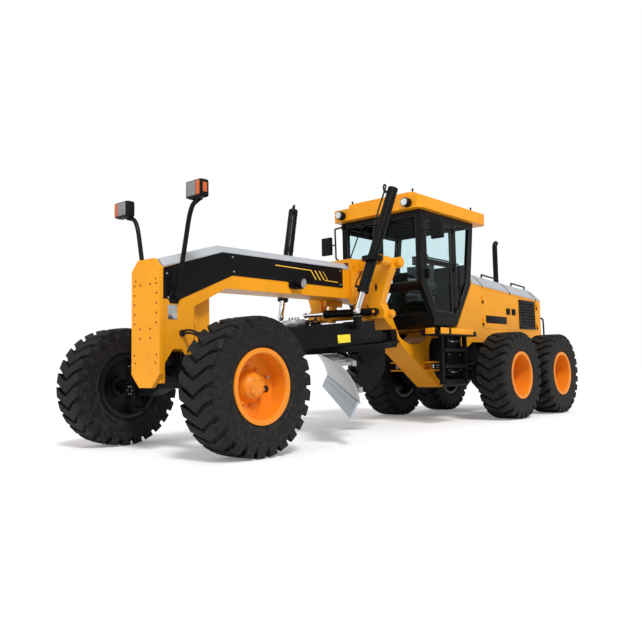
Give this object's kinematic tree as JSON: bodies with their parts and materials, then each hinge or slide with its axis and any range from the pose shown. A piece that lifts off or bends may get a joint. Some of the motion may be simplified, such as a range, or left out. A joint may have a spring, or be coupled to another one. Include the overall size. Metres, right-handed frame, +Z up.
{
  "type": "motor grader",
  "caption": "Articulated motor grader with a turning blade under its frame, tandem drive wheels, leaning front wheels and an enclosed cab.",
  "frame": {"origin": "on the ground, midway between the front of the front tyres and the rear tow jaw, on the machine's middle plane", "axes": "+X forward, +Y to the machine's left, +Z up"},
  "size_m": [8.626, 2.9727, 3.262],
  "materials": {
    "black": "satin",
    "cast": "rough",
    "glass": "clear",
    "paint": "satin",
    "rim": "satin",
    "rod": "polished",
    "rubber": "matte",
    "seat": "matte",
    "steel": "brushed"
  },
  "bodies": {
    "rear_frame": {"rear_frame": "black", "engine": "cast", "tandem_axle": "black", "cab_shell": "black", "cab_glass": "glass", "cab_roof": "paint", "seat_and_console": "seat", "mirrors": "black", "ladders": "black", "hood": "paint", "stack_and_rails": "black"},
    "front_frame": {"front_frame": "paint", "push_plate": "paint", "front_axle": "black", "saddle": "paint", "lamp_posts": "black"},
    "lean_left": {"lean_yoke_left": "black"},
    "knuckle_left": {"knuckle_left": "black"},
    "lean_right": {"lean_yoke_right": "black"},
    "knuckle_right": {"knuckle_right": "black"},
    "front_wheel_left": {"tyre_front_left": "rubber", "rim_front_left": "rim"},
    "front_wheel_right": {"tyre_front_right": "rubber", "rim_front_right": "rim"},
    "middle_wheel_left": {"tyre_middle_left": "rubber", "rim_middle_left": "rim"},
    "middle_wheel_right": {"tyre_middle_right": "rubber", "rim_middle_right": "rim"},
    "rear_wheel_left": {"tyre_rear_left": "rubber", "rim_rear_left": "rim"},
    "rear_wheel_right": {"tyre_rear_right": "rubber", "rim_rear_right": "rim"},
    "drawbar_ball": {"drawbar_ball": "black"},
    "drawbar": {"drawbar": "black"},
    "circle": {"circle": "black"},
    "blade_carrier": {"blade_carrier": "black"},
    "blade": {"moldboard": "steel", "cutting_edge": "steel"},
    "tip_barrel": {"tip_barrel": "black"},
    "tip_rod": {"tip_rod": "rod"},
    "articulation_barrel_left": {"articulation_barrel_left": "black"},
    "articulation_rod_left": {"articulation_rod_left": "rod"},
    "articulation_barrel_right": {"articulation_barrel_right": "black"},
    "articulation_rod_right": {"articulation_rod_right": "rod"},
    "lift_ring_left": {"lift_ring_left": "black"},
    "lift_barrel_left": {"lift_barrel_left": "black"},
    "lift_rod_left": {"lift_rod_left": "rod"},
    "lift_ring_right": {"lift_ring_right": "black"},
    "lift_barrel_right": {"lift_barrel_right": "black"},
    "lift_rod_right": {"lift_rod_right": "rod"},
    "shift_barrel": {"shift_barrel": "black"},
    "shift_rod": {"shift_rod": "rod"},
    "cab_door_left": {"cab_door_left": "black", "door_glass_left": "glass"},
    "cab_door_right": {"cab_door_right": "black", "door_glass_right": "glass"},
    "hood_door_front_left": {"hood_door_front_left": "paint"},
    "hood_door_rear_left": {"hood_door_rear_left": "paint"},
    "hood_door_front_right": {"hood_door_front_right": "paint"},
    "hood_door_rear_right": {"hood_door_rear_right": "paint"}
  },
  "joints": [
    {"name": "articulation", "type": "hinge", "parent": "rear_frame", "child": "front_frame", "pos_m": [-1.4, 0, 0], "axis": [0, 0, 1], "range_deg": [-20, 20]},
    {"name": "lean_left", "type": "hinge", "parent": "front_frame", "child": "lean_left", "pos_m": [3.65, 0.64, 0.62], "axis": [1, 0, 0], "range_deg": [-18, 18]},
    {"name": "steer_left", "type": "hinge", "parent": "lean_left", "child": "knuckle_left", "pos_m": [3.65, 0.8, 0.66], "axis": [0, 0, 1], "range_deg": [-45, 45]},
    {"name": "lean_right", "type": "hinge", "parent": "front_frame", "child": "lean_right", "pos_m": [3.65, -0.64, 0.62], "axis": [1, 0, 0], "range_deg": [-18.5, 18.5]},
    {"name": "steer_right", "type": "hinge", "parent": "lean_right", "child": "knuckle_right", "pos_m": [3.65, -0.8, 0.66], "axis": [0, 0, 1], "range_deg": [-46, 46]},
    {"name": "front_wheel_left_spin", "type": "hinge", "parent": "knuckle_left", "child": "front_wheel_left", "pos_m": [3.65, 1.0775, 0.66], "axis": [0, 1, 0], "continuous": true},
    {"name": "front_wheel_right_spin", "type": "hinge", "parent": "knuckle_right", "child": "front_wheel_right", "pos_m": [3.65, -1.0775, 0.66], "axis": [0, 1, 0], "continuous": true},
    {"name": "middle_wheel_left_spin", "type": "hinge", "parent": "rear_frame", "child": "middle_wheel_left", "pos_m": [-1.8, 1.0775, 0.66], "axis": [0, 1, 0], "continuous": true},
    {"name": "middle_wheel_right_spin", "type": "hinge", "parent": "rear_frame", "child": "middle_wheel_right", "pos_m": [-1.8, -1.0775, 0.66], "axis": [0, 1, 0], "continuous": true},
    {"name": "rear_wheel_left_spin", "type": "hinge", "parent": "rear_frame", "child": "rear_wheel_left", "pos_m": [-3.34, 1.0775, 0.66], "axis": [0, 1, 0], "continuous": true},
    {"name": "rear_wheel_right_spin", "type": "hinge", "parent": "rear_frame", "child": "rear_wheel_right", "pos_m": [-3.34, -1.0775, 0.66], "axis": [0, 1, 0], "continuous": true},
    {"name": "swing", "type": "hinge", "parent": "front_frame", "child": "drawbar_ball", "pos_m": [3.35, 0, 1.07], "axis": [0, 0, -1], "range_deg": [-9, 4.5]},
    {"name": "lift", "type": "hinge", "parent": "drawbar_ball", "child": "drawbar", "pos_m": [3.35, 0, 1.07], "axis": [0, 1, 0], "range_deg": [-12, 1]},
    {"name": "circle", "type": "hinge", "parent": "drawbar", "child": "circle", "pos_m": [0.92925, 0, 1.28179], "axis": [0.0872, 0, 0.9962], "range_deg": [-3, 95]},
    {"name": "tip", "type": "hinge", "parent": "circle", "child": "blade_carrier", "pos_m": [0.71679, 0.15203, 0.5977], "axis": [0.7044, 0.7071, -0.0616], "range_deg": [0, 35]},
    {"name": "side_shift", "type": "slide", "parent": "blade_carrier", "child": "blade", "axis": [0.7044, 0.7071, -0.0616], "range_m": [-0.65, 0.45]},
    {"name": "tip_barrel", "type": "hinge", "parent": "circle", "child": "tip_barrel", "pos_m": [0.57769, 0.33234, 1.07665], "axis": [0.7044, 0.7071, -0.0616], "range_deg": [-0.19, 9.58]},
    {"name": "tip_rod", "type": "slide", "parent": "tip_barrel", "child": "tip_rod", "axis": [0.6787, -0.6964, -0.2331], "range_m": [-0.00475, 0.2424]},
    {"name": "articulation_barrel_left", "type": "hinge", "parent": "rear_frame", "child": "articulation_barrel_left", "pos_m": [-1.91, 0.5, 0.82], "axis": [0, 0, 1], "range_deg": [-9.72, 9.72]},
    {"name": "articulation_rod_left", "type": "slide", "parent": "articulation_barrel_left", "child": "articulation_rod_left", "axis": [0.9878, -0.1555, 0], "range_m": [-0.14975, 0.14975]},
    {"name": "articulation_barrel_right", "type": "hinge", "parent": "rear_frame", "child": "articulation_barrel_right", "pos_m": [-1.91, -0.5, 0.82], "axis": [0, 0, 1], "range_deg": [-9.72, 9.72]},
    {"name": "articulation_rod_right", "type": "slide", "parent": "articulation_barrel_right", "child": "articulation_rod_right", "axis": [0.9878, 0.1555, 0], "range_m": [-0.14975, 0.14975]},
    {"name": "lift_ring_left", "type": "hinge", "parent": "front_frame", "child": "lift_ring_left", "pos_m": [1.2, 0.75, 2.18], "axis": [1, 0, 0], "range_deg": [-26.23, 13.5]},
    {"name": "lift_barrel_left", "type": "hinge", "parent": "lift_ring_left", "child": "lift_barrel_left", "pos_m": [1.2, 0.75, 2.18], "axis": [0, 1, 0], "range_deg": [-1.04, 10.12]},
    {"name": "lift_rod_left", "type": "slide", "parent": "lift_barrel_left", "child": "lift_rod_left", "axis": [0.3114, -0.1338, -0.9408], "range_m": [-0.03688, 0.35884]},
    {"name": "lift_ring_right", "type": "hinge", "parent": "front_frame", "child": "lift_ring_right", "pos_m": [1.2, -0.75, 2.18], "axis": [1, 0, 0], "range_deg": [-26.23, 13.5]},
    {"name": "lift_barrel_right", "type": "hinge", "parent": "lift_ring_right", "child": "lift_barrel_right", "pos_m": [1.2, -0.75, 2.18], "axis": [0, 1, 0], "range_deg": [-1.04, 10.12]},
    {"name": "lift_rod_right", "type": "slide", "parent": "lift_barrel_right", "child": "lift_rod_right", "axis": [0.3114, 0.1338, -0.9408], "range_m": [-0.03688, 0.35884]},
    {"name": "shift_barrel", "type": "hinge", "parent": "front_frame", "child": "shift_barrel", "pos_m": [0.918, 0.56, 1.538], "axis": [1, 0, 0], "range_deg": [-2.72, 26.51]},
    {"name": "shift_rod", "type": "slide", "parent": "shift_barrel", "child": "shift_rod", "axis": [0.1949, -0.9808, 0.0037], "range_m": [-0.1895, 0.36827]},
    {"name": "cab_door_left", "type": "hinge", "parent": "rear_frame", "child": "cab_door_left", "pos_m": [-0.883, 0.712, 2.2], "axis": [0, 0, 1], "range_deg": [0, 85]},
    {"name": "cab_door_right", "type": "hinge", "parent": "rear_frame", "child": "cab_door_right", "pos_m": [-0.883, -0.712, 2.2], "axis": [0, 0, -1], "range_deg": [0, 85]},
    {"name": "hood_door_front_left", "type": "hinge", "parent": "rear_frame", "child": "hood_door_front_left", "pos_m": [-1.917, 0.612, 1.7], "axis": [0, 0, -1], "range_deg": [0, 85]},
    {"name": "hood_door_rear_left", "type": "hinge", "parent": "rear_frame", "child": "hood_door_rear_left", "pos_m": [-3.953, 0.612, 1.7], "axis": [0, 0, 1], "range_deg": [0, 85]},
    {"name": "hood_door_front_right", "type": "hinge", "parent": "rear_frame", "child": "hood_door_front_right", "pos_m": [-1.917, -0.612, 1.7], "axis": [0, 0, 1], "range_deg": [0, 85]},
    {"name": "hood_door_rear_right", "type": "hinge", "parent": "rear_frame", "child": "hood_door_rear_right", "pos_m": [-3.953, -0.612, 1.7], "axis": [0, 0, -1], "range_deg": [0, 85]}
  ],
  "couplings": [
    {"joint": "lean_right", "follows": "lean_left", "ratio": 1},
    {"joint": "steer_right", "follows": "steer_left", "ratio": 1},
    {"joint": "tip_barrel", "follows": "tip", "ratio": 0.26843},
    {"joint": "tip_rod", "follows": "tip", "m_per_rad": 0.38903},
    {"joint": "articulation_barrel_left", "follows": "articulation", "ratio": 0.46717},
    {"joint": "articulation_rod_left", "follows": "articulation", "m_per_rad": -0.41249},
    {"joint": "articulation_barrel_right", "follows": "articulation", "ratio": 0.46717},
    {"joint": "articulation_rod_right", "follows": "articulation", "m_per_rad": 0.41249},
    {"joint": "lift_ring_left", "follows": "swing", "ratio": 2.8294},
    {"joint": "lift_barrel_left", "follows": "lift", "ratio": -0.82549},
    {"joint": "lift_rod_left", "follows": "lift", "m_per_rad": -1.677},
    {"joint": "lift_ring_right", "follows": "swing", "ratio": 2.8293},
    {"joint": "lift_barrel_right", "follows": "lift", "ratio": -0.82549},
    {"joint": "lift_rod_right", "follows": "lift", "m_per_rad": -1.677},
    {"joint": "shift_barrel", "follows": "lift", "ratio": -2.1624},
    {"joint": "shift_rod", "follows": "swing", "m_per_rad": -2.2762}
  ]
}
